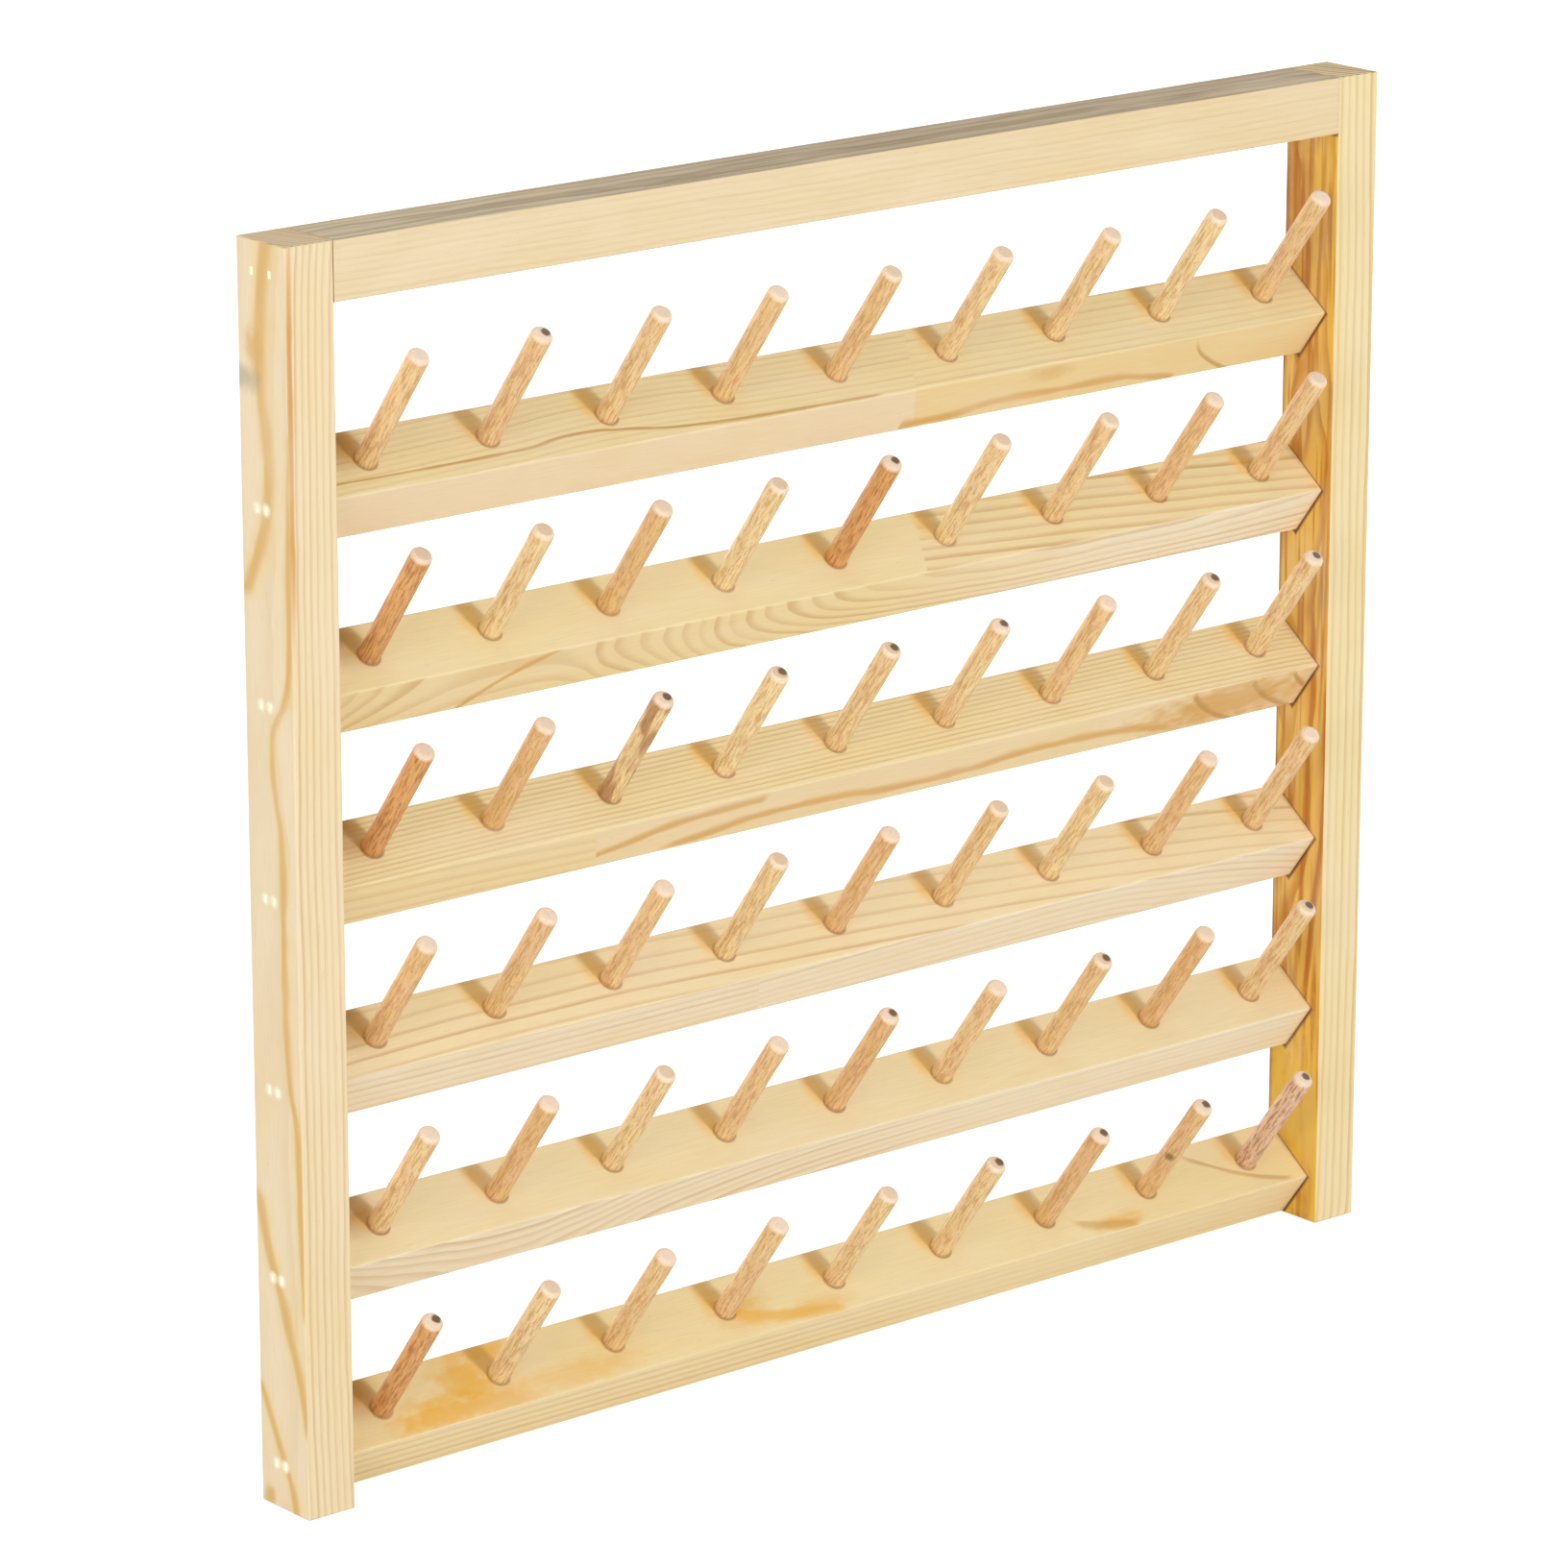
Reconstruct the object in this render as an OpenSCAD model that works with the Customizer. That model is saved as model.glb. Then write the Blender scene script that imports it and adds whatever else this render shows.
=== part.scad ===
// Wall-hung thread rack: a glued and bradded pine frame whose tilted rails carry rows of round pegs.
// Millimetres. X runs along the rails, +Y points into the wall and +Z is up.
// The origin is the centre of the middle peg rail's back face, in the plane of the frame's back.

/* [Frame] */
// Overall width across the two stiles
frame_w = 400; // [350:1:480]
// Overall height of the stiles
frame_h = 358; // [320:1:420]
// Depth of the frame from front to back
frame_d = 22; // [20:0.5:28]
// Width of a stile seen from the front
stile_w = 16; // [12:0.5:18]
// Height of the top rail
top_rail_h = 17; // [15:0.5:22]
// Radius of the eased edges of stiles and rails
edge_r = 0.7; // [0.3:0.1:1.2]

/* [Peg rails] */
// Number of peg rails
rail_count = 6; // [2:1:6]
// Distance from the stile tops down to the highest ridge
top_ridge_drop = 71.4; // [68:0.2:90]
// Height of the lowest ridge above the stile ends
lowest_ridge = 14.6; // [14:0.2:20]
// Distance of a ridge behind the fronts of the stiles
ridge_setback = 3.7; // [1:0.1:5]
// Slope of the peg face, up towards the back, in degrees
face_tilt = 37; // [30:1:42]
// Thickness of a rail, square to its peg face
rail_t = 18; // [14:0.5:20]

/* [Pegs] */
// Number of pegs on a rail
pegs_per_rail = 9; // [2:1:9]
// Distance from a stile to the axis of the nearest peg
peg_end_gap = 18.4; // [13:0.2:25]
// Diameter of a peg
peg_d = 6.35; // [5:0.05:7]
// Width of the shoulder that a peg's turned foot leaves
peg_shoulder = 0.25; // [0.2:0.05:0.5]
// Length of a peg that stands out of its rail
peg_reach = 42; // [30:1:50]
// Depth of a peg's blind hole
peg_depth = 8; // [6:0.5:9]
// Distance of a peg's axis up the peg face from the ridge
peg_seat = 11; // [8:0.5:12]
// Radius of the rounded edge of a peg's tip
peg_tip_r = 1.5; // [0.5:0.1:2]
// Glue gap between the foot of a peg and the wall of its hole
glue_gap = 0.05; // [0.02:0.01:0.1]

/* [Brads] */
// Length of a brad with its head
brad_l = 25; // [20:1:28]
// Width of a brad's wire
brad_w = 1.3; // [1:0.1:1.6]
// Thickness of a brad's wire
brad_t = 1; // [0.8:0.1:1.2]
// Height of a brad's head, across the grain of the rail
brad_head_h = 2.2; // [2:0.1:2.6]
// Thickness of a brad's head along the brad
brad_head_t = 0.8; // [0.5:0.1:1.2]
// Distance between the two brads in one end of a rail
brad_spread = 4; // [3:0.5:6]
// Distance of a peg rail's brads behind the fronts of the stiles
brad_back = 12.5; // [11:0.5:14]
// Distance of a peg rail's brads below the ridge
brad_drop = 1.5; // [0.5:0.5:3]
// Distance between the two brads in one end of the top rail
top_brad_spread = 8; // [5:0.5:10]

/* [Hangers] */
// Distance between the middles of the two hangers
hanger_span = 200; // [120:1:300]
// Length of a hanger
hanger_l = 45; // [40:1:55]
// Height of a hanger's end tabs
hanger_tab_h = 10; // [8:0.5:11]
// Thickness of the hanger's steel
hanger_t = 1; // [0.8:0.1:1.2]
// Distance that a hanger's middle stands off the wood
hanger_rise = 1.6; // [1:0.1:2.5]
// Length of the sloping step between a tab and the middle
hanger_step = 2; // [1.5:0.1:3]
// Distance that the tooth tips hang below the top rail
hanger_drop = 5.2; // [3:0.1:6]
// Distance of the nail holes above the top rail's lower face
nail_rise = 7; // [6:0.5:8]
// Distance from one tooth to the next
tooth_pitch = 4.6; // [4:0.1:5]
// Number of notches between the teeth
tooth_count = 5; // [3:1:5]
// Depth of a notch
tooth_h = 2.6; // [2:0.1:3]
// Diameter of a hanger nail's shank
nail_d = 1.6; // [1.4:0.1:2]
// Length of a hanger nail's shank
nail_l = 12; // [8:1:15]
// Diameter of a hanger nail's head
nail_head_d = 3.4; // [3:0.1:4]
// Thickness of a hanger nail's head
nail_head_t = 0.7; // [0.5:0.1:1]
// Play of a nail in the hanger's hole, in diameter
nail_play = 0.2; // [0.1:0.05:0.4]

/* [Hidden] */
$fn = 48;
pine = [0.93, 0.83, 0.66];
rail_pine = [0.91, 0.8, 0.62];
beech = [0.84, 0.66, 0.46];
steel = [0.72, 0.72, 0.7];
// Segments in one rounded corner
corner_steps = 4;
// Length that a cut runs past the face it opens
over = 1;
// Length of a hanger nail's point
nail_point = 2 * nail_d;
rail_l = frame_w - 2 * stile_w;
top_rail_z = frame_h - top_rail_h;
// Distances from one ridge to the next and from one peg to the next
rail_pitch = (frame_h - top_ridge_drop - lowest_ridge) / (rail_count - 1);
peg_pitch = (rail_l - 2 * peg_end_gap) / (pegs_per_rail - 1);
// Rail section, as (distance behind the front, height above the ridge)
upper_corner = [frame_d, (frame_d - ridge_setback) * tan(face_tilt)];
back_corner = [frame_d, upper_corner.y - rail_t / cos(face_tilt)];
lower_corner = [ridge_setback + rail_t * sin(face_tilt), -rail_t * cos(face_tilt)];
rail_section = [[ridge_setback, 0], lower_corner, back_corner, upper_corner];
middle_row = ceil(rail_count / 2);
foot_r = peg_d / 2 - peg_shoulder;
// Middle of a hanger tab, out from the hanger's middle
tab_x = (hanger_l - hanger_tab_h) / 2;
// Half the length of a hanger's raised middle
bridge_x = tab_x - hanger_tab_h / 2 - hanger_step;

function unit(v) = v / norm(v);

// Outline with each corner rounded to radius r; the points run one way round a convex shape
function eased(points, r) = [
    for (i = [0:len(points) - 1])
        let (
            b = points[i],
            u = unit(points[(i + len(points) - 1) % len(points)] - b),
            v = unit(points[(i + 1) % len(points)] - b),
            half = acos(u * v) / 2,
            centre = b + unit(u + v) * r / sin(half),
            from = b + u * r / tan(half) - centre,
            to = b + v * r / tan(half) - centre,
            start = atan2(from.y, from.x),
            sweep = (atan2(to.y, to.x) - start + 540) % 360 - 180
        )
        for (k = [0:corner_steps])
            centre + r * [cos(start + sweep * k / corner_steps), sin(start + sweep * k / corner_steps)]
];

function rectangle(x, y) = [[0, 0], [x, 0], [x, y], [0, y]];

// Height of a peg rail's ridge above the stile ends; row 1 is the highest
function ridge_z(row) = lowest_ridge + (rail_count - row) * rail_pitch;

// Height of the part's origin above the stile ends
origin_z = ridge_z(middle_row) + (upper_corner.y + back_corner.y) / 2;

// Moves a piece from the bench, with the stile ends at height zero, to the part's frame
module placed() {
    translate([0, 0, -origin_z]) children();
}

// Extrudes a section, drawn as (distance behind the front, height), along X and centres it
module along_x(length) {
    translate([-length / 2, -frame_d, 0])
        rotate([90, 0, 90])
            linear_extrude(length) children();
}

// Block with all twelve edges eased, standing on its lower corner
module eased_block(size, r) {
    intersection() {
        linear_extrude(size.z) polygon(eased(rectangle(size.x, size.y), r));
        translate([0, size.y, 0])
            rotate([90, 0, 0])
                linear_extrude(size.y) polygon(eased(rectangle(size.x, size.z), r));
        rotate([90, 0, 90])
            linear_extrude(size.x) polygon(eased(rectangle(size.y, size.z), r));
    }
}

// One brad, driven along +X from a head that lies flush at X = 0
module brad() {
    translate([0, -brad_t / 2, -brad_w / 2])
        cube([brad_l, brad_t, brad_w]);
    translate([0, -brad_w / 2, -brad_head_h / 2])
        cube([brad_head_t, brad_w, brad_head_h]);
}

// Brads of the left side, two in the end of every rail
module brads() {
    for (row = [1:rail_count], side = [-1, 1])
        translate([-frame_w / 2, -frame_d + brad_back + side * brad_spread / 2, ridge_z(row) - brad_drop])
            brad();
    for (side = [-1, 1])
        translate([-frame_w / 2, -frame_d / 2 + side * top_brad_spread / 2, frame_h - top_rail_h / 2])
            brad();
}

module both_brads() {
    brads();
    mirror([1, 0, 0]) brads();
}

// Stile of the left side
module stile() {
    difference() {
        translate([-frame_w / 2, -frame_d, 0])
            eased_block([stile_w, frame_d, frame_h], edge_r);
        brads();
    }
}

module top_rail() {
    color(pine)
        placed()
            difference() {
                translate([0, 0, top_rail_z])
                    along_x(rail_l) polygon(eased(rectangle(frame_d, top_rail_h), edge_r));
                both_brads();
                at_hanger(-1) hanger_nails();
                at_hanger(1) hanger_nails();
            }
}

// Places something on the peg face with +Z along a peg's axis, out of the wood
module on_peg_face(row, peg) {
    translate([
        (peg - (pegs_per_rail + 1) / 2) * peg_pitch,
        -frame_d + ridge_setback + peg_seat * cos(face_tilt),
        ridge_z(row) + peg_seat * sin(face_tilt)
    ])
        rotate([face_tilt, 0, 0]) children();
}

module peg_rail(row) {
    color(rail_pine)
        placed()
            difference() {
                translate([0, 0, ridge_z(row)])
                    along_x(rail_l) polygon(eased(rail_section, edge_r));
                for (peg = [1:pegs_per_rail])
                    on_peg_face(row, peg)
                        translate([0, 0, -peg_depth])
                            cylinder(r = foot_r + glue_gap, h = peg_depth + over);
                both_brads();
            }
}

// One peg along +Z, from its foot in the blind hole to its rounded tip, with the peg face at Z = 0
module peg() {
    foot = [[0, -peg_depth], [foot_r, -peg_depth], [foot_r, 0], [peg_d / 2, 0]];
    tip = [
        for (k = [0:corner_steps])
            [
                peg_d / 2 - peg_tip_r + peg_tip_r * cos(90 * k / corner_steps),
                peg_reach - peg_tip_r + peg_tip_r * sin(90 * k / corner_steps)
            ]
    ];
    rotate_extrude() polygon(concat(foot, tip, [[0, peg_reach]]));
}

module pegs_row(row) {
    color(beech)
        placed()
            for (peg = [1:pegs_per_rail])
                on_peg_face(row, peg) peg();
}

// Front view of a hanger, with the top rail's lower face at height zero
module hanger_outline() {
    difference() {
        union() {
            for (side = [-1, 1])
                translate([side * tab_x, nail_rise]) circle(d = hanger_tab_h);
            translate([-tab_x, nail_rise - hanger_tab_h / 2]) square([2 * tab_x, hanger_tab_h]);
            translate([-bridge_x, -hanger_drop]) square([2 * bridge_x, nail_rise + hanger_drop]);
        }
        for (k = [0:tooth_count - 1])
            translate([(k - (tooth_count - 1) / 2) * tooth_pitch, -hanger_drop])
                polygon([[-tooth_pitch / 2, -over], [-tooth_pitch / 2, 0], [0, tooth_h],
                    [tooth_pitch / 2, 0], [tooth_pitch / 2, -over]]);
    }
}

// Plan of a hanger's bent strip, lying against the wood at Y = 0
module hanger_plan() {
    polygon([
        [-hanger_l / 2, 0], [-bridge_x - hanger_step, 0], [-bridge_x, hanger_rise],
        [bridge_x, hanger_rise], [bridge_x + hanger_step, 0], [hanger_l / 2, 0],
        [hanger_l / 2, hanger_t], [bridge_x + hanger_step, hanger_t], [bridge_x, hanger_rise + hanger_t],
        [-bridge_x, hanger_rise + hanger_t], [-bridge_x - hanger_step, hanger_t], [-hanger_l / 2, hanger_t]
    ]);
}

// Places something at both nail holes of a hanger, with +Z out of the wood
module at_nails() {
    for (side = [-1, 1])
        translate([side * tab_x, 0, nail_rise])
            rotate([-90, 0, 0]) children();
}

module hanger() {
    difference() {
        intersection() {
            translate([0, 0, -hanger_drop - over])
                linear_extrude(hanger_drop + nail_rise + hanger_tab_h) hanger_plan();
            translate([0, hanger_rise + hanger_t + over, 0])
                rotate([90, 0, 0])
                    linear_extrude(hanger_rise + hanger_t + 2 * over) hanger_outline();
        }
        at_nails()
            translate([0, 0, -over]) cylinder(d = nail_d + nail_play, h = hanger_t + 2 * over);
    }
}

// Two nails of one hanger, their heads on its tabs
module hanger_nails() {
    at_nails()
        translate([0, 0, hanger_t]) {
            cylinder(d = nail_head_d, h = nail_head_t);
            translate([0, 0, nail_point - nail_l]) cylinder(d = nail_d, h = nail_l - nail_point);
            translate([0, 0, -nail_l]) cylinder(d1 = 0, d2 = nail_d, h = nail_point);
        }
}

// Places something at the hanger of one side, -1 for the left and 1 for the right
module at_hanger(side) {
    translate([side * hanger_span / 2, 0, top_rail_z]) children();
}

color(pine) placed() stile();  // left_stile
color(pine) placed() mirror([1, 0, 0]) stile();  // right_stile
top_rail();
for (row = [1:rail_count]) {
    peg_rail(row);
    pegs_row(row);
}
color(steel) placed() brads();  // left_brads
color(steel) placed() mirror([1, 0, 0]) brads();  // right_brads
color(steel) placed() at_hanger(-1) hanger();  // left_hanger
color(steel) placed() at_hanger(1) hanger();  // right_hanger
color(steel) placed() at_hanger(-1) hanger_nails();  // left_hanger_nails
color(steel) placed() at_hanger(1) hanger_nails();  // right_hanger_nails
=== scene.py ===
"""Looks of a wall-hung thread rack: procedural pine, hardwood pegs and steel, lit in a plain studio."""

import math

import bpy
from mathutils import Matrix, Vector

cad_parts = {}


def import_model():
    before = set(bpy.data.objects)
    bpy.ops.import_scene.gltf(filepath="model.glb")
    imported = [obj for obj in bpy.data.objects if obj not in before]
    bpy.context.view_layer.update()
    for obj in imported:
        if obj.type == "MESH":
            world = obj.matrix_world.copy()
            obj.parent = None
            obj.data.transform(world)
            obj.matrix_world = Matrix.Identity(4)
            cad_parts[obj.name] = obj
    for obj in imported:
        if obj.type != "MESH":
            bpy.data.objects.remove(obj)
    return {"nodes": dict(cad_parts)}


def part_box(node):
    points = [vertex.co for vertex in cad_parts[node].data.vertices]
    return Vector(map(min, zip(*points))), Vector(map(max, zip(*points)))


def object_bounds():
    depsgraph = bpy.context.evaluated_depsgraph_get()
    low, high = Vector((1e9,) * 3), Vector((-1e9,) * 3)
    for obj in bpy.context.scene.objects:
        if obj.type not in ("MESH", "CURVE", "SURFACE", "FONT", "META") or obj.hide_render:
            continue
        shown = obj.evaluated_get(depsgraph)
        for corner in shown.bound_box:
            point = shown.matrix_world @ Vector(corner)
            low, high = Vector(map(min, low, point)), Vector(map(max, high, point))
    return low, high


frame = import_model()
cad_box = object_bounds()

# Millimetres in a metre
MM = 1000.0
# Tilt of the faces that hold the pegs, as in the part's source
FACE_TILT = math.radians(37)


def size(node):
    """Width, depth and height of a CAD node, in millimetres."""
    low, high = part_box(node)
    return (high - low) * MM


def ridge(node):
    """The front edge of a peg rail, where its peg face and its lower face meet, in millimetres."""
    low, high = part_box(node)
    return Vector((0, low.y, high.z - (high.y - low.y) * math.tan(FACE_TILT))) * MM


# Sizes in millimetres that the CAD nodes tell. First the width, depth and height of the frame
FRAME_W = (cad_box[1].x - cad_box[0].x) * MM
FRAME_D = size("left_stile").y
STILE_L = size("left_stile").z
# Height of the top rail
TOP_RAIL_H = size("top_rail").z
# Half the length of a rail, so the place of its right end
RAIL_END = size("top_rail").x / 2
# Number of peg rails, and the distance from one to the next
ROWS = 6
RAIL_PITCH = (ridge("peg_rail_1") - ridge("peg_rail_2")).z

# Sizes in millimetres that come from the part's source. First a peg rail's thickness, square to its peg face
RAIL_T = 18.0
# Height of the lowest peg rail's front edge above the stile ends
LOWEST_RIDGE = 14.6
# How far a pair of brads lies behind the front and below a peg rail's front edge, and how far apart they are
BRAD_BACK = 12.5
BRAD_DROP = 1.5
BRAD_SPREAD = 4.0
# Diameter of a peg, distance from one to the next, and distance of their axes from the rail's front edge
PEG_D = 6.35
PEG_PITCH = 41.4
PEG_SEAT = 11.0
# Number of pegs in a row, and the place of the first one along it
PEGS = 9
FIRST_PEG = -PEG_PITCH * (PEGS - 1) / 2

# How far the glued joints in the peg rails stray along the rail for each millimetre across a face
JOINT_SLANT = 0.45

# Directions of the boards' grain and faces
ALONG_X = Vector((1, 0, 0))
ALONG_Y = Vector((0, 1, 0))
ALONG_Z = Vector((0, 0, 1))
# Up the slope of a peg face, and out of it along the pegs
UP_FACE = Vector((0, math.cos(FACE_TILT), math.sin(FACE_TILT)))
OUT_OF_FACE = Vector((0, -math.sin(FACE_TILT), math.cos(FACE_TILT)))

# The photograph's viewpoint, in metres, and the camera's lens and sensor, in millimetres
CAMERA_PLACE = (-1.2868, -1.5296, 0.5634)
CAMERA_AZIMUTH = math.radians(39.83)
CAMERA_ELEVATION = math.radians(16.01)
CAMERA_LENS = 165.4
CAMERA_SENSOR = 36

# Lamps, all turned to the rack: a name, a place and a width in metres, and a power in watts
LAMPS = (
    ("key", (0.3, -2.45, 0.65), 0.4, 23),
    ("fill", (-2.5, -0.7, 0.3), 2.0, 34),
    ("top", (0, -0.4, 2.5), 1.2, 5),
    ("back", (-0.6, 2.4, 0.6), 1.6, 22),
    ("right", (2.4, 0.7, 0.5), 1.6, 18),
)
# Strength of the world as light on the rack, and as the background that is seen
WORLD_LIGHT = 0.42
WORLD_SEEN = 1.0
# The floor's width in metres, its grey, and the glow that makes it white where it is seen
FLOOR_W = 60
FLOOR_GREY = 0.8
FLOOR_GLOW = 0.64


def srgb(red, green, blue):
    """A colour that a picture shows as these numbers from 0 to 255, as Blender's linear colour."""
    linear = [((c / 255 + 0.055) / 1.055) ** 2.4 if c > 10 else c / 255 / 12.92 for c in (red, green, blue)]
    return (*linear, 1.0)


# Colours of the pine: the plain wood first, then its lines, bands, stains and patches, and painted shade
PALE = srgb(246, 226, 186)
WARM = srgb(247, 228, 178)
PINKISH = srgb(247, 227, 196)
DUSTY = srgb(230, 209, 172)
CREAM = srgb(254, 243, 217)
SUNNY = srgb(255, 236, 190)
GOLDEN = srgb(242, 214, 150)
LATE = srgb(198, 150, 84)
BAND = srgb(222, 174, 96)
FIBRE = srgb(214, 172, 110)
CANAL = srgb(176, 126, 70)
END_GRAIN = srgb(200, 156, 104)
# Grey of the painted shade on the top rail's top
GREY = srgb(216, 200, 170)
TOP_BROWN = srgb(140, 114, 84)
END_RING = srgb(56, 38, 22)
KNOT = srgb(160, 152, 124)
ORANGE = srgb(212, 146, 52)
INNER = srgb(246, 200, 108)
HONEY = srgb(246, 200, 78)
RUST = srgb(190, 110, 34)
# Tone of the painted shade in the corner by each rail's first peg
CORNER_SHADE = srgb(158, 100, 26)
# Warm tone of the painted shadow beside each peg
PEG_SHADOW_TONE = srgb(250, 198, 98)
SHADE = srgb(120, 66, 8)
BRAD_SPOT = srgb(255, 248, 226)
RESIN = srgb(240, 184, 66)

# Colours of the pegs: the wood, single pegs' marks, the tips, and the painted shade at the feet
BEECH = srgb(250, 222, 168)
BEECH_BROWN = srgb(232, 186, 122)
BEECH_PINK = srgb(240, 196, 152)
BEECH_STRAW = srgb(252, 230, 176)
BEECH_DARK = srgb(226, 164, 98)
FLECK = srgb(196, 136, 74)
FLECK_DARK = srgb(150, 82, 36)
PORE = srgb(150, 92, 50)
PEG_STREAK = srgb(150, 96, 44)
PEG_KNOT = srgb(120, 100, 52)
PEG_ROSY = srgb(232, 186, 168)
PEG_SPECK = srgb(140, 84, 56)
TIP_RIM = srgb(252, 232, 208)
TIP = srgb(250, 230, 210)
TIP_BROWN = srgb(232, 206, 178)
TIP_PORE = srgb(176, 136, 106)
TIP_HEART = srgb(74, 46, 28)
PEG_FOOT_SHADE = srgb(166, 100, 52)

# Colours of the steel: a bright and a duller tint
BRAD_STEEL = (srgb(255, 246, 214), srgb(238, 220, 176))
HANGER_STEEL = (srgb(156, 156, 152), srgb(142, 142, 139))

# Bands on the left stile's outer side. Each has a width after its path, which is pairs of a height above the
# stile's foot and a depth behind its front
LEFT_STILE_BANDS = (
    (((56, -1), (85, 1.2), (110, 2), (126, 5), (150, 6.6), (190, 6.6), (206, 9), (218, 10.2), (227, 8),
      (233, 4.3), (245, 1.8), (285, 0.5), (310, -1)), 3.4),
    (((258, 23), (266, 18), (276, 13.5), (290, 9.6), (304, 9.6), (316, 12), (338, 12), (348, 11),
      (362, 8)), 6.5),
    (((22, -1), (42, 3.6), (52, 7.4), (62, 11), (74, 16), (86, 20), (94, 23)), 4.6),
    (((-6, 4.5), (8, 8), (20, 14), (30, 19), (38, 23)), 3.6),
)
# Streaks on the right stile's inner side: a path as above, a width and a strength
INNER_STREAKS = (
    (((66, 8), (82, 6), (100, 4.2), (130, 0.6), (180, 0.4)), 2.6, 0.9),
    (((40, 14), (90, 10.5), (130, 8.5), (170, 6), (210, 3), (270, 1.2)), 2.2, 0.55),
    (((150, 3.5), (200, 1.4), (260, 0.2)), 1.4, 0.5),
    (((235, 13), (262, 9), (300, 7), (345, 5)), 2.4, 0.6),
    (((250, 18), (280, 15), (310, 12), (350, 10)), 2.2, 0.5),
    (((-10, 4), (30, 7), (70, 12), (110, 17)), 2.2, 0.45),
)
# Resin spots on the lowest peg rail's upper face: a centre, a half size and a strength
RESIN_SPOTS = (
    ((-150, 4), (19, 8), 1.0),
    ((-128, 3), (17, 7), 0.9),
    ((-136, 13), (12, 12), 1.0),
    ((-124, 18), (13, 9), 0.8),
    ((-100, 5), (30, 6), 0.45),
    ((-36, 10), (13, 9), 0.6),
    ((-12, 4), (18, 4), 0.5),
    ((108, 3), (13, 4), 0.7),
)

# Pegs of a browner wood, by row, counted from the left
DARK_PEGS = {2: (1, 5), 3: (1,), 6: (1,)}
# One peg each, by row and place in the row
STREAKED_PEG = (3, 3)
KNOTTY_PEG = (6, 8)
SPECKLED_PEG = (6, 9)
# Pegs whose end is nearly black in places
DARK_TIPS = {1: (2,), 2: (5,), 3: (3, 4, 5, 6, 8, 9), 5: (5, 7, 9), 6: (1, 6, 7, 8, 9)}


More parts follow.
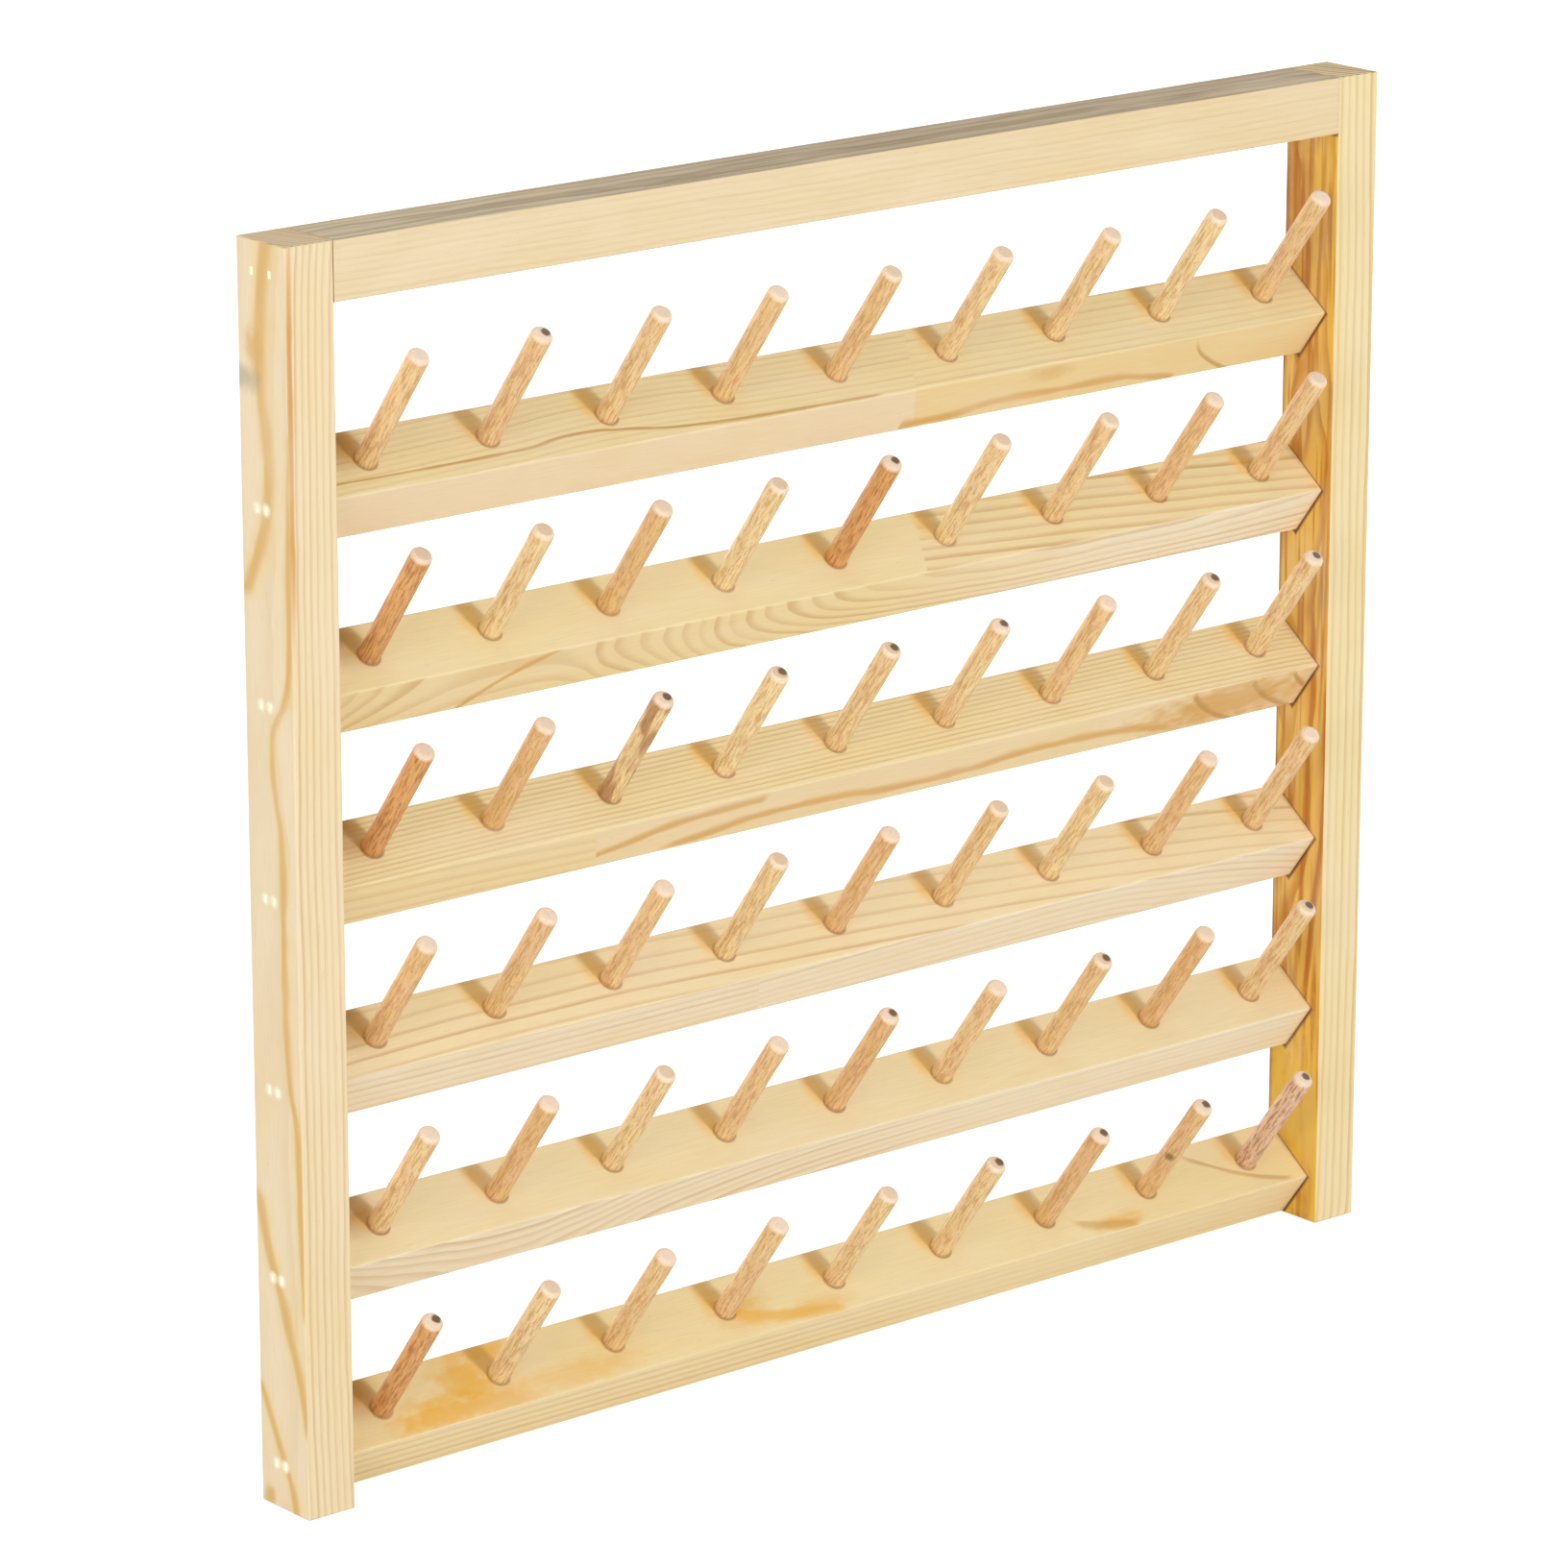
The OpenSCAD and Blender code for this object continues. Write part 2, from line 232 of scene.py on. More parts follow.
class Paint:
    """Adds nodes to one material. A value is a number, a vector, a colour or another node's output."""

    def __init__(self, name):
        self.material = bpy.data.materials.new(name)
        self.material.use_nodes = True
        self.tree = self.material.node_tree
        self.shader = self.tree.nodes["Principled BSDF"]
        coordinates = self.tree.nodes.new("ShaderNodeTexCoord")
        # Place in the frame that all pieces share, in millimetres
        self.place = self.scaled(coordinates.outputs["Object"], MM)
        self.normal = self.tree.nodes.new("ShaderNodeNewGeometry").outputs["True Normal"]
        self.colour = None

    def put(self, socket, value):
        """Links another node's output to a socket, or sets the socket to a fixed value."""
        if isinstance(value, bpy.types.NodeSocket):
            self.tree.links.new(value, socket)
        else:
            socket.default_value = value

    def math(self, operation, *values, clamp=False):
        """A calculation with numbers."""
        node = self.tree.nodes.new("ShaderNodeMath")
        node.operation = operation
        node.use_clamp = clamp
        for socket, value in zip(node.inputs, values):
            self.put(socket, value)
        return node.outputs[0]

    def vector(self, operation, *values):
        """A calculation with vectors whose result is a vector."""
        node = self.tree.nodes.new("ShaderNodeVectorMath")
        node.operation = operation
        for socket, value in zip(node.inputs, values):
            self.put(socket, value)
        return node.outputs["Vector"]

    def scaled(self, vector, factor):
        """A vector times a number."""
        node = self.tree.nodes.new("ShaderNodeVectorMath")
        node.operation = "SCALE"
        self.put(node.inputs[0], vector)
        self.put(node.inputs["Scale"], factor)
        return node.outputs["Vector"]

    def dot(self, a, b):
        """The dot product of two vectors, a number."""
        node = self.tree.nodes.new("ShaderNodeVectorMath")
        node.operation = "DOT_PRODUCT"
        self.put(node.inputs[0], a)
        self.put(node.inputs[1], b)
        return node.outputs["Value"]

    def combine(self, x, y, z):
        """The vector with these coordinates."""
        node = self.tree.nodes.new("ShaderNodeCombineXYZ")
        for socket, value in zip(node.inputs, (x, y, z)):
            self.put(socket, value)
        return node.outputs[0]

    def far(self, x, y, z=0.0):
        """How far the place with these coordinates lies from zero."""
        node = self.tree.nodes.new("ShaderNodeVectorMath")
        node.operation = "LENGTH"
        self.put(node.inputs[0], self.combine(x, y, z))
        return node.outputs["Value"]

    def noise(self, vector, detail, roughness, scale=1.0):
        """Soft noise from 0 to 1, around 0.5."""
        node = self.tree.nodes.new("ShaderNodeTexNoise")
        self.put(node.inputs["Vector"], vector)
        self.put(node.inputs["Scale"], scale)
        self.put(node.inputs["Detail"], detail)
        self.put(node.inputs["Roughness"], roughness)
        return node.outputs["Fac"]

    def random(self, value):
        """A number from 0 to 1 that stays the same for the same value."""
        node = self.tree.nodes.new("ShaderNodeTexWhiteNoise")
        node.noise_dimensions = "1D"
        self.put(node.inputs["W"], value)
        return node.outputs["Value"]

    def step(self, value, low, high, start=0.0, end=1.0):
        """Start below low, end above high, and a smooth rise between."""
        node = self.tree.nodes.new("ShaderNodeMapRange")
        node.interpolation_type = "SMOOTHSTEP"
        for socket, number in zip(node.inputs, (value, low, high, start, end)):
            self.put(socket, number)
        return node.outputs["Result"]

    def mix(self, factor, a, b):
        """Colour a where the factor is 0, colour b where it is 1."""
        node = self.tree.nodes.new("ShaderNodeMix")
        node.data_type = "RGBA"
        self.put(node.inputs["Factor"], factor)
        self.put(node.inputs[6], a)
        self.put(node.inputs[7], b)
        return node.outputs[2]

    def facing(self, direction, both=False):
        """1 on faces turned this way, or with both also the opposite way, and 0 on the others."""
        turned = self.dot(self.normal, tuple(direction))
        return self.step(self.math("ABSOLUTE", turned) if both else turned, 0.6, 0.8)

    def curve(self, value, points):
        """A smooth curve through points, pairs of a value and its result, flat beyond its ends."""
        node = self.tree.nodes.new("ShaderNodeFloatCurve")
        first, last = points[0][0], points[-1][0]
        results = [result for _, result in points]
        low, span = min(results), max(results) - min(results)
        places = [((at - first) / (last - first), (result - low) / span) for at, result in points]
        spots = node.mapping.curves[0].points
        spots[0].location = places[0]
        spots[1].location = places[-1]
        for place in places[1:-1]:
            spots.new(*place)
        node.mapping.update()
        share = self.math("DIVIDE", self.math("ADD", value, -first), last - first, clamp=True)
        self.put(node.inputs["Value"], share)
        return self.math("MULTIPLY_ADD", node.outputs[0], span, low)

    def bump(self, height, depth):
        """Relief of the surface, for a height from 0 to 1 and a depth in millimetres."""
        node = self.tree.nodes.new("ShaderNodeBump")
        node.inputs["Strength"].default_value = 1.0
        node.inputs["Distance"].default_value = depth / MM
        self.put(node.inputs["Height"], height)
        self.put(self.shader.inputs["Normal"], node.outputs["Normal"])

    def lay(self, amount, tone):
        """Lays a colour over what is there, by an amount from 0 to 1."""
        self.colour = self.mix(amount, self.colour, tone)

    def tint(self, tone, strength, where):
        """Lays a colour over one part of the surface: where is 1 there and 0 elsewhere."""
        self.lay(self.math("MULTIPLY", where, strength), tone)

    def finish(self, roughness, specular=0.3, metallic=0.0):
        """Gives the shader the colour and its gloss, and returns the material."""
        self.put(self.shader.inputs["Base Color"], self.colour)
        self.put(self.shader.inputs["Roughness"], roughness)
        self.shader.inputs["Specular IOR Level"].default_value = specular
        self.shader.inputs["Metallic"].default_value = metallic
        return self.material


class Pine(Paint):
    """Pine of one board. Places are in millimetres: a along the board, u towards the pith, v across."""

    def __init__(self, node, along, to_pith, base, seed):
        super().__init__(f"pine_{node}")
        low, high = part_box(node)
        local = self.vector("SUBTRACT", self.place, tuple((low + high) / 2 * MM))
        self.along = along
        self.a = self.dot(local, tuple(along))
        self.u = self.dot(local, tuple(to_pith))
        self.v = self.dot(local, tuple(along.cross(to_pith)))
        self.seed = seed
        self.colour = base
        self.relief = 0.0

    def grain(self, length, breadth, shift=0.0, detail=1.0, roughness=0.5):
        """Noise from 0 to 1 in blobs of this length and breadth, in millimetres."""
        place = self.combine(self.math("DIVIDE", self.a, length), self.math("DIVIDE", self.u, breadth),
                             self.math("DIVIDE", self.v, breadth))
        place = self.vector("ADD", place, (7.3 * self.seed + shift, 3.1 * self.seed, 5.7 * self.seed))
        return self.noise(place, detail, roughness)

    def rings(self, tone, strength, spacing, where, pith, aside=0.0, slant=0.0, wobble=1.0, bend=(),
              line=0.65):
        """The late wood of the year rings round a pith, which runs pith millimetres beside the board.

        spacing is a ring's width, slant the slope of the pith, wobble how far a ring strays, line the
        late wood's share of a ring, and bend pairs of a place along the board and how far the pith moves.
        """
        distance = self.math("ADD", self.math("MULTIPLY_ADD", self.a, slant, self.u), -pith)
        if bend:
            distance = self.math("ADD", distance, self.curve(self.a, bend))
        radius = self.far(distance, self.math("ADD", self.v, -aside))
        slow = self.math("MULTIPLY_ADD", self.grain(80, 25), 2 * wobble, radius)
        radius = self.math("MULTIPLY_ADD", self.grain(16, 12, shift=4), 0.4 * wobble, slow)
        phase = self.math("DIVIDE", radius, spacing)
        ring = self.math("FLOOR", phase)
        within = self.math("SUBTRACT", phase, ring)
        late = self.math("MULTIPLY", self.step(within, 1 - line, 0.88),
                         self.step(within, 0.92, 1.0, 1.0, 0.0))
        year = self.math("MULTIPLY_ADD", self.random(self.math("ADD", ring, self.seed)), 0.8, 0.4)
        late = self.math("MULTIPLY", self.math("MULTIPLY", late, year), where)
        self.relief = self.math("ADD", late, self.relief)
        self.tint(tone, strength, late)

    def streak(self, tone, strength, across, path, width, where, fade=5.0):
        """A line through the path's points, pairs of a place along the board and one across it."""
        off = self.math("SUBTRACT", across, self.curve(self.a, path))
        ragged = self.math("MULTIPLY_ADD", self.grain(14, 9, shift=9), 1.4 * width, 0.3 * width)
        off = self.math("DIVIDE", off, ragged)
        line = self.math("MULTIPLY", self.step(off, -0.8, -0.1), self.step(off, 0.1, 0.5, 1.0, 0.0))
        first, last = path[0][0], path[-1][0]
        ends = self.math("MULTIPLY", self.step(self.a, first, first + fade),
                         self.step(self.a, last - fade, last, 1.0, 0.0))
        self.tint(tone, strength, self.math("MULTIPLY", self.math("MULTIPLY", line, ends), where))

    def patch(self, tone, strength, across, centre, size, where):
        """A soft spot round a centre, such as resin or a knot, with a ragged edge."""
        a = self.math("DIVIDE", self.math("ADD", self.a, -centre[0]), size[0])
        b = self.math("DIVIDE", self.math("ADD", across, -centre[1]), size[1])
        far = self.math("ADD", self.far(a, b), self.grain(5, 3, shift=13, detail=2.0))
        self.tint(tone, strength, self.math("MULTIPLY", self.step(far, 0.7, 1.6, 1.0, 0.0), where))

    def done(self):
        """Fibres, slow changes of tone and end grain, and the finished material."""
        fibre = self.grain(11, 0.32, detail=3.0, roughness=0.6)
        self.lay(self.step(fibre, 0.35, 0.75, 0.0, 0.16), FIBRE)
        canals = self.grain(5, 0.22, shift=21)
        self.lay(self.step(canals, 0.72, 0.8, 0.0, 0.35), CANAL)
        cloud = self.grain(45, 12, shift=31, detail=2.0)
        self.lay(self.step(cloud, 0.45, 0.75, 0.0, 0.3), PINKISH)
        self.lay(self.step(cloud, 0.5, 0.25, 0.0, 0.25), GOLDEN)
        end = self.math("ABSOLUTE", self.dot(self.normal, tuple(self.along)))
        self.lay(self.step(end, 0.6, 0.8, 0.0, 0.3), END_GRAIN)
        height = self.math("MULTIPLY_ADD", self.relief, 0.5, self.math("MULTIPLY", fibre, 0.5))
        self.bump(height, 0.05)
        return self.finish(self.step(fibre, 0.3, 0.7, 0.6, 0.72), specular=0.2)


class Rail(Pine):
    """A peg rail's pine, with up and down for the distance from its ridge on its two seen faces."""

    def __init__(self, row, to_pith, base, seed):
        super().__init__(f"peg_rail_{row}", ALONG_X, to_pith, base, seed)
        from_ridge = self.vector("SUBTRACT", self.place, tuple(ridge(f"peg_rail_{row}")))
        self.up = self.dot(from_ridge, tuple(UP_FACE))
        self.down = self.dot(from_ridge, tuple(-OUT_OF_FACE))
        self.peg_face = self.facing(OUT_OF_FACE)
        self.lower_face = self.facing(-UP_FACE)

    def lengths(self, place):
        """Two values: 1 left of a slanting glued joint, and 1 right of it, and 0 elsewhere.

        The joint crosses the ridge at this place along the rail.
        """
        square = self.math("MULTIPLY_ADD", self.up, -JOINT_SLANT, self.a)
        square = self.math("MULTIPLY_ADD", self.down, -JOINT_SLANT, square)
        right = self.step(square, place - 0.3, place + 0.3)
        return self.math("SUBTRACT", 1.0, right), right

    def planed(self):
        """Plain year rings on the faces that the wall and the stiles hide."""
        seen_faces = self.math("ADD", self.peg_face, self.lower_face)
        hidden = self.math("SUBTRACT", 1.0, seen_faces, clamp=True)
        self.rings(LATE, 0.4, 2.6, pith=70, aside=20, wobble=1.5, where=hidden)

    def peg_feet(self):
        """A dark joint line round each peg's foot, partly painted contact shade, and a warm painted shadow
        beside and above it.
        """
        column = self.math("ROUND", self.math("DIVIDE", self.a, PEG_PITCH))
        beside = self.math("MULTIPLY_ADD", column, -PEG_PITCH, self.a)
        above = self.math("ADD", self.up, -PEG_SEAT)
        edge = PEG_D / 2
        # Joint line round each peg's foot, partly painted contact shade
        self.tint(SHADE, self.step(self.far(beside, above), edge + 0.2, edge + 0.9, 0.6, 0.0), self.peg_face)
        # Painted shadow up the face and to the left of each peg, where its shadow falls
        shade = self.far(self.math("ADD", beside, 3.2), self.math("MULTIPLY_ADD", above, 0.6, -3.6))
        self.tint(PEG_SHADOW_TONE, self.step(shade, 1.5, 5.5, 0.7, 0.0), self.peg_face)

    def first_corner(self):
        """Painted shade in the corner between the first peg and the left stile, where they shadow the peg
        face.
        """
        a, up = FIRST_PEG - 8, 19
        far = self.far(self.math("ADD", self.a, -a), self.math("ADD", self.up, -up))
        # Painted shade, darkest near the corner and gone 14 mm from it
        self.tint(CORNER_SHADE, self.step(far, 2, 14, 0.7, 0.0), self.peg_face)

    def ends(self):
        """A painted highlight along the rounded edge, and a rusty joint line that is partly painted shade, at
        both ends.
        """
        end = self.math("ABSOLUTE", self.a)
        # Painted highlight: a paler band just inside each end
        self.lay(self.step(end, RAIL_END - 1.4, RAIL_END - 0.9, 0.0, 0.5), PALE)
        # Joint line at each end, partly painted shade
        self.lay(self.step(end, RAIL_END - 0.4, RAIL_END - 0.1, 0.0, 0.7), RUST)

    def done(self):
        """What all peg rails have in common, and the finished material."""
        self.planed()
        self.peg_feet()
        self.first_corner()
        self.ends()
        return super().done()


def joints(pine, side):
    """The dark line on a stile's inner side round the end of each peg rail and under the top rail: a joint
    line that is partly painted shade.
    """
    from_top = pine.vector("SUBTRACT", pine.place, tuple(ridge("peg_rail_1")))
    height = pine.dot(from_top, tuple(ALONG_Z))
    row = pine.math("MINIMUM", pine.math("ROUND", pine.math("DIVIDE", height, RAIL_PITCH)), 0.0)
    height = pine.math("MULTIPLY_ADD", row, -RAIL_PITCH, height)
    place = pine.combine(0.0, pine.dot(from_top, tuple(ALONG_Y)), height)
    up = pine.dot(place, tuple(UP_FACE))
    out = pine.dot(place, tuple(OUT_OF_FACE))
    above = pine.math("MAXIMUM", out, pine.math("SUBTRACT", -RAIL_T, out))
    gap = pine.math("MAXIMUM", above, pine.math("MULTIPLY", up, -1.0))
    under_top = pine.math("SUBTRACT", STILE_L - TOP_RAIL_H, pine.a)
    gap = pine.math("MINIMUM", pine.math("MAXIMUM", gap, 0.0), pine.math("MAXIMUM", under_top, 0.0))
    # Joint line, partly painted shade, darkest right at each rail's outline
    pine.tint(SHADE, pine.step(gap, 0.2, 1.2, 1.0, 0.0), side)


def brad_dents(pine, depth, side):
    """A pale spot round each brad head on a stile's outer side."""
    height = pine.math("ADD", pine.a, BRAD_DROP - LOWEST_RIDGE)
    row = pine.math("MINIMUM", pine.math("ROUND", pine.math("DIVIDE", height, RAIL_PITCH)), ROWS - 1)
    height = pine.math("MULTIPLY_ADD", row, -RAIL_PITCH, height)
    across = pine.math("ABSOLUTE", pine.math("ADD", depth, -BRAD_BACK))
    far = pine.far(height, pine.math("ADD", across, -BRAD_SPREAD / 2))
    pine.tint(BRAD_SPOT, pine.step(far, 1.2, 2.4, 0.85, 0.0), side)


def left_stile():
    """Straight lines and an orange streak in front, and four wandering bands and a knot on the outer side."""
    pine = Pine("left_stile", ALONG_Z, ALONG_X, PALE, 1)
    side = pine.facing(-ALONG_X)
    front = pine.facing(ALONG_Y, both=True)
    pine.a = pine.math("ADD", pine.a, STILE_L / 2)
    depth = pine.math("ADD", pine.dot(pine.place, tuple(ALONG_Y)), FRAME_D)
    pine.tint(PINKISH, 0.5, side)
    pine.rings(LATE, 0.42, 2.1, pith=90, aside=30, wobble=1.2, bend=((0, 0), (180, 1.5), (STILE_L, -1)),
               where=front)
    pine.rings(LATE, 0.16, 3.1, pith=14, aside=4, wobble=3.0, where=pine.facing(ALONG_X, both=True))
    pine.rings(END_RING, 0.5, 2.1, pith=90, aside=30, wobble=1.2, where=pine.facing(ALONG_Z))
    for path, width in LEFT_STILE_BANDS:
        pine.streak(GOLDEN, 0.7, depth, path, 2 * width, side)
        pine.streak(BAND, 0.75, depth, path, width, side)
    pine.patch(KNOT, 0.7, depth, (320, 19), (5, 9), side)
    pine.patch(BAND, 0.8, depth, (328, 15), (9, 5), side)
    pine.patch(BAND, 0.8, depth, (2, 18), (5, 3), side)
    brad_dents(pine, depth, side)
    joints(pine, pine.facing(ALONG_X))
    from_left = pine.math("ADD", pine.dot(pine.place, tuple(ALONG_X)), FRAME_W / 2)
    pine.streak(ORANGE, 0.8, from_left, ((240, 0.9), (300, 1.0), (372, 1.4)), 2.4, front, fade=40.0)
    return pine.done()


def right_stile():
    """Wider lines in front; an orange inner side, partly painted shade, with darker and golden streaks."""
    pine = Pine("right_stile", ALONG_Z, ALONG_X, WARM, 2)
    inner = pine.facing(-ALONG_X)
    front = pine.facing(ALONG_Y, both=True)
    pine.a = pine.math("ADD", pine.a, STILE_L / 2)
    depth = pine.math("ADD", pine.dot(pine.place, tuple(ALONG_Y)), FRAME_D)
    pine.rings(LATE, 0.42, 2.8, pith=110, aside=40, wobble=1.4, bend=((0, 2), (120, 0), (STILE_L, 1)),
               where=front)
    pine.rings(LATE, 0.4, 3.4, pith=16, aside=5, wobble=4.0, where=pine.facing(ALONG_X))
    pine.rings(END_RING, 1.0, 2.8, pith=110, aside=40, wobble=1.4, where=pine.facing(ALONG_Z))
    # The inner side's orange is partly the wood's colour and partly painted shade and warm reflected light
    pine.lay(inner, INNER)
    pine.tint(HONEY, pine.step(pine.a, 120, 30, 0.0, 0.8), inner)
    pine.tint(HONEY, pine.step(pine.grain(60, 9, shift=40), 0.4, 0.7, 0.0, 0.8), inner)
    pine.rings(ORANGE, 0.8, 2.4, pith=18, aside=5, wobble=5.0, where=inner)
    pine.tint(RUST, pine.step(pine.grain(40, 2.0, shift=50), 0.5, 0.7, 0.0, 0.75), inner)
    for path, width, strength in INNER_STREAKS:
        pine.streak(RUST, strength, depth, path, width, inner, fade=14.0)
    pine.patch(RUST, 0.5, depth, (318, 15), (26, 8), inner)
    pine.patch(HONEY, 0.9, depth, (36, 14), (44, 20), inner)
    brad_dents(pine, depth, pine.facing(ALONG_X))
    joints(pine, inner)
    # Painted shade along the inner side's back edge
    pine.tint(SHADE, pine.step(depth, FRAME_D - 2.2, FRAME_D - 0.4, 0.0, 0.6), inner)
    return pine.done()


def top_rail():
    """Nearly plain in front and more golden to the right, and on top painted grey shade, darker to the right,
    with brown lines.
    """
    pine = Pine("top_rail", ALONG_X, ALONG_Z, PALE, 3)
    front = pine.facing(ALONG_Y, both=True)
    top = pine.facing(ALONG_Z)
    pine.lay(pine.step(pine.a, -60, 170, 0.0, 0.35), GOLDEN)
    pine.tint(DUSTY, 0.45, front)
    pine.rings(LATE, 0.16, 1.9, pith=120, aside=20, wobble=1.5, where=front)
    # Painted shade: a grey tint on the top, which the lamps light less than the front
    pine.tint(GREY, 0.9, top)
    pine.tint(TOP_BROWN, pine.step(pine.a, -150, 0, 0.0, 0.35), top)
    pine.rings(TOP_BROWN, 0.45, 3.0, pith=16, aside=3, wobble=3.0, where=top)
    pine.tint(TOP_BROWN, pine.step(pine.grain(24, 1.2, shift=60), 0.5, 0.75, 0.0, 0.5), top)
    pine.rings(LATE, 0.3, 3.0, pith=18, aside=3, wobble=3.0, where=pine.facing(-ALONG_Z))
    return pine.done()


def peg_rail_1():
    """Two lengths glued end to end: bowed lines and a bold one on the left, a brown band on the right."""
    pine = Rail(1, UP_FACE, WARM, 4)
    left, right = pine.lengths(23)
    pine.tint(PINKISH, 0.75, pine.math("MULTIPLY", left, pine.lower_face))
    pine.tint(GOLDEN, 0.5, pine.math("MULTIPLY", right, pine.lower_face))
    bow = ((-RAIL_END, 1.5), (-120, -0.5), (-80, -2.2), (-30, 0.5), (30, 1.6))
    pine.rings(LATE, 0.27, 2.0, pith=120, aside=30, wobble=0.7, bend=bow,
               where=pine.math("MULTIPLY", left, pine.peg_face))
    pine.rings(LATE, 0.25, 2.6, pith=50, slant=0.012, where=pine.math("MULTIPLY", right, pine.peg_face))
    bold = ((-190, 5), (-115, 5), (-97, 6.9), (-82, 5.7), (-59, 2.7), (-33, 1.5), (12, 0.9))
    pine.streak(LATE, 0.85, pine.up, bold, 1.2, pine.peg_face)
    band = ((24, 15.5), (44, 14.8), (62, 12.2), (85, 12.4), (104, 12.2), (118, 14), (132, 17))
    pine.streak(BAND, 0.85, pine.down, band, 4.2, pine.lower_face, fade=1.0)
    hook = ((132, 0), (136, 6), (142, 11), (152, 17), (158, 20))
    pine.streak(LATE, 0.75, pine.down, hook, 2.2, pine.lower_face)
    pine.patch(BAND, 0.5, pine.down, (76, 3), (11, 5), pine.lower_face)
    return pine.done()


def peg_rail_2():
    """Plain on the left of its peg face, slanting lines on the right, and a steep figure below."""
    pine = Rail(2, UP_FACE, WARM, 5)
    _, right = pine.lengths(27.5)
    dive = ((-RAIL_END, 5.0), (-110, -3.0), (-84, 1.0), (-20, 21.0), (20, 27.5), (110, 31), (RAIL_END, 28))
    pine.tint(CREAM, pine.step(pine.a, 10, 120, 0.0, 0.9), pine.lower_face)
    pine.rings(LATE, 0.42, 2.1, pith=34, aside=7, bend=dive, wobble=1.3, where=pine.lower_face)
    above = pine.math("MULTIPLY", right, pine.peg_face)
    pine.rings(LATE, 0.6, 3.9, pith=80, slant=0.1, wobble=1.6, where=above)
    scoop = ((-136, 18), (-130, 13), (-122, 7), (-108, 0), (-104, -2))
    pine.streak(BAND, 0.85, pine.down, scoop, 3.4, pine.lower_face, fade=1.0)
    return pine.done()


def peg_rail_3():
    """Many fine straight lines above, and a long wavy brown band and slanting scoops below."""
    pine = Rail(3, UP_FACE, WARM, 6)
    left, right = pine.lengths(-94)
    bow = ((-RAIL_END, 0.8), (-60, 0), (90, 0.4), (RAIL_END, 2.2))
    pine.rings(LATE, 0.42, 1.65, pith=140, aside=30, wobble=0.6, bend=bow, where=pine.peg_face)
    left_below = pine.math("MULTIPLY", left, pine.lower_face)
    pine.rings(LATE, 0.3, 2.4, pith=24, aside=18, slant=0.02, where=left_below)
    below = pine.math("MULTIPLY", right, pine.lower_face)
    pine.tint(PINKISH, 0.4, below)
    rise = ((-92, 12.5), (-76, 8.5), (-62, 5), (-50, 3.6), (-30, 3))
    pine.streak(BAND, 0.8, pine.down, rise, 4.4, below, fade=3.0)
    wave = ((-66, 16), (-45, 13.5), (-22, 10.2), (0, 10.6), (25, 12.6), (48, 12.2), (80, 9.4), (104, 10),
            (122, 12.5), (136, 17))
    pine.streak(BAND, 0.8, pine.down, wave, 4.4, below, fade=8.0)
    pine.patch(BAND, 0.9, pine.down, (152, 8), (44, 14), below)
    for start in (133, 157, 174):
        scoop = ((start, 0), (start + 6, 6), (start + 14, 12), (start + 26, 18))
        pine.streak(LATE, 0.8, pine.down, scoop, 2.6, below, fade=2.0)
    return pine.done()


def peg_rail_4():
    """Bold lines above that bend down to the right, and finer ones below."""
    slope = (UP_FACE + OUT_OF_FACE).normalized()
    pine = Rail(4, slope, PALE, 7)
    bend = ((-RAIL_END, 0.6), (-100, -0.6), (-40, 0.6), (60, 4.6), (140, 10), (RAIL_END, 14.5))
    pine.tint(SUNNY, 0.6, pine.peg_face)
    pine.rings(LATE, 0.46, 3.2, pith=120, aside=10, wobble=0.7, bend=bend, line=0.4, where=pine.peg_face)
    pine.tint(CREAM, 0.85, pine.lower_face)
    left, right = pine.lengths(-35)
    pine.rings(LATE, 0.34, 2.2, pith=90, wobble=0.5, where=pine.math("MULTIPLY", left, pine.lower_face))
    right_below = pine.math("MULTIPLY", right, pine.lower_face)
    rise = ((-31, 0), (60, -3), (90, -3.6), (130, 0), (RAIL_END, 9))
    pine.rings(LATE, 0.3, 2.4, pith=70, aside=10, wobble=0.9, bend=rise, where=right_below)
    return pine.done()


def peg_rail_5():
    """Plain and pale above, and cream with nested arches below that fade to the right."""
    pine = Rail(5, UP_FACE, WARM, 8)
    pine.tint(PALE, 0.4, pine.peg_face)
    pine.tint(CREAM, 0.9, pine.lower_face)
    arch = ((-RAIL_END, 9), (-150, 2.2), (-122, 0), (-104, 1.6), (-60, 11), (20, 20), (RAIL_END, 24))
    fading = pine.math("MULTIPLY", pine.lower_face, pine.step(pine.a, -10, 60, 1.0, 0.35))
    pine.rings(LATE, 0.42, 2.3, pith=26, aside=-20, wobble=0.9, bend=arch, line=0.75, where=fading)
    return pine.done()


